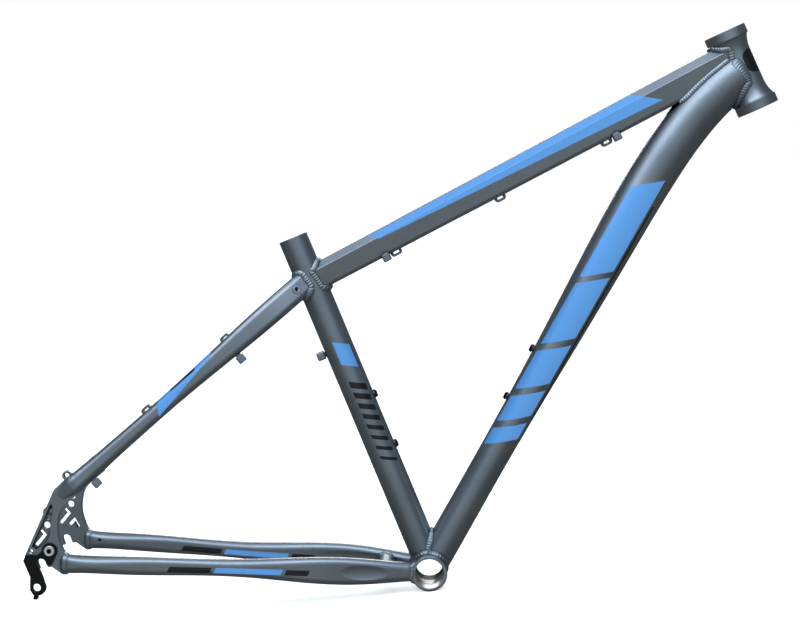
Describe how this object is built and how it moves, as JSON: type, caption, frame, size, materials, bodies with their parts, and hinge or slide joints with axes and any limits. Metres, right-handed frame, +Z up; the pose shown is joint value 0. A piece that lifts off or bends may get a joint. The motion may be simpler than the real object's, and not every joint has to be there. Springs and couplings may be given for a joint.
{
  "type": "bicycle frame",
  "caption": "Bare hardtail bicycle frame: sloping shaped top tube, bent down tube, curved stays, pierced dropouts with a replaceable hanger and disc brake tabs.",
  "frame": {"origin": "centre of the bottom bracket shell", "axes": "+X forward, +Y to the rider's left along the bottom bracket axis, +Z up as ridden"},
  "size_m": [0.9253, 0.163, 0.6251],
  "materials": {
    "frame_paint": "satin metallic blue-grey paint on aluminium",
    "shell_paint": "satin metallic blue-grey paint outside, bare machined aluminium in the bore",
    "hanger": "black anodised",
    "steel_bolt": "zinc plated",
    "black_bolt": "black oxide",
    "insert": "painted over with the frame"
  },
  "bodies": {
    "root": {"bottom_bracket_shell": "shell_paint", "chain_stay_bridge": "frame_paint", "chain_stay_left": "frame_paint", "chain_stay_right": "frame_paint", "derailleur_hanger": "hanger", "down_tube": "frame_paint", "down_tube_bottle_bolts": "black_bolt", "down_tube_bottle_bosses": "insert", "dropout_left": "frame_paint", "dropout_right": "frame_paint", "hanger_bolt": "steel_bolt", "hanger_nut": "steel_bolt", "head_tube": "frame_paint", "rack_boss_left": "frame_paint", "rack_boss_right": "frame_paint", "seat_stay_bridge": "frame_paint", "seat_stay_guide_lower": "frame_paint", "seat_stay_guide_upper": "frame_paint", "seat_stay_left": "frame_paint", "seat_stay_right": "frame_paint", "seat_stay_stop_lower": "frame_paint", "seat_stay_stop_upper": "frame_paint", "seat_tube": "frame_paint", "seat_tube_bottle_bolts": "black_bolt", "seat_tube_bottle_bosses": "insert", "seat_tube_stop": "frame_paint", "top_tube": "frame_paint", "top_tube_guide_front": "frame_paint", "top_tube_guide_middle": "frame_paint", "top_tube_guide_rear": "frame_paint", "top_tube_stop_front": "frame_paint", "top_tube_stop_rear": "frame_paint"}
  },
  "joints": []
}
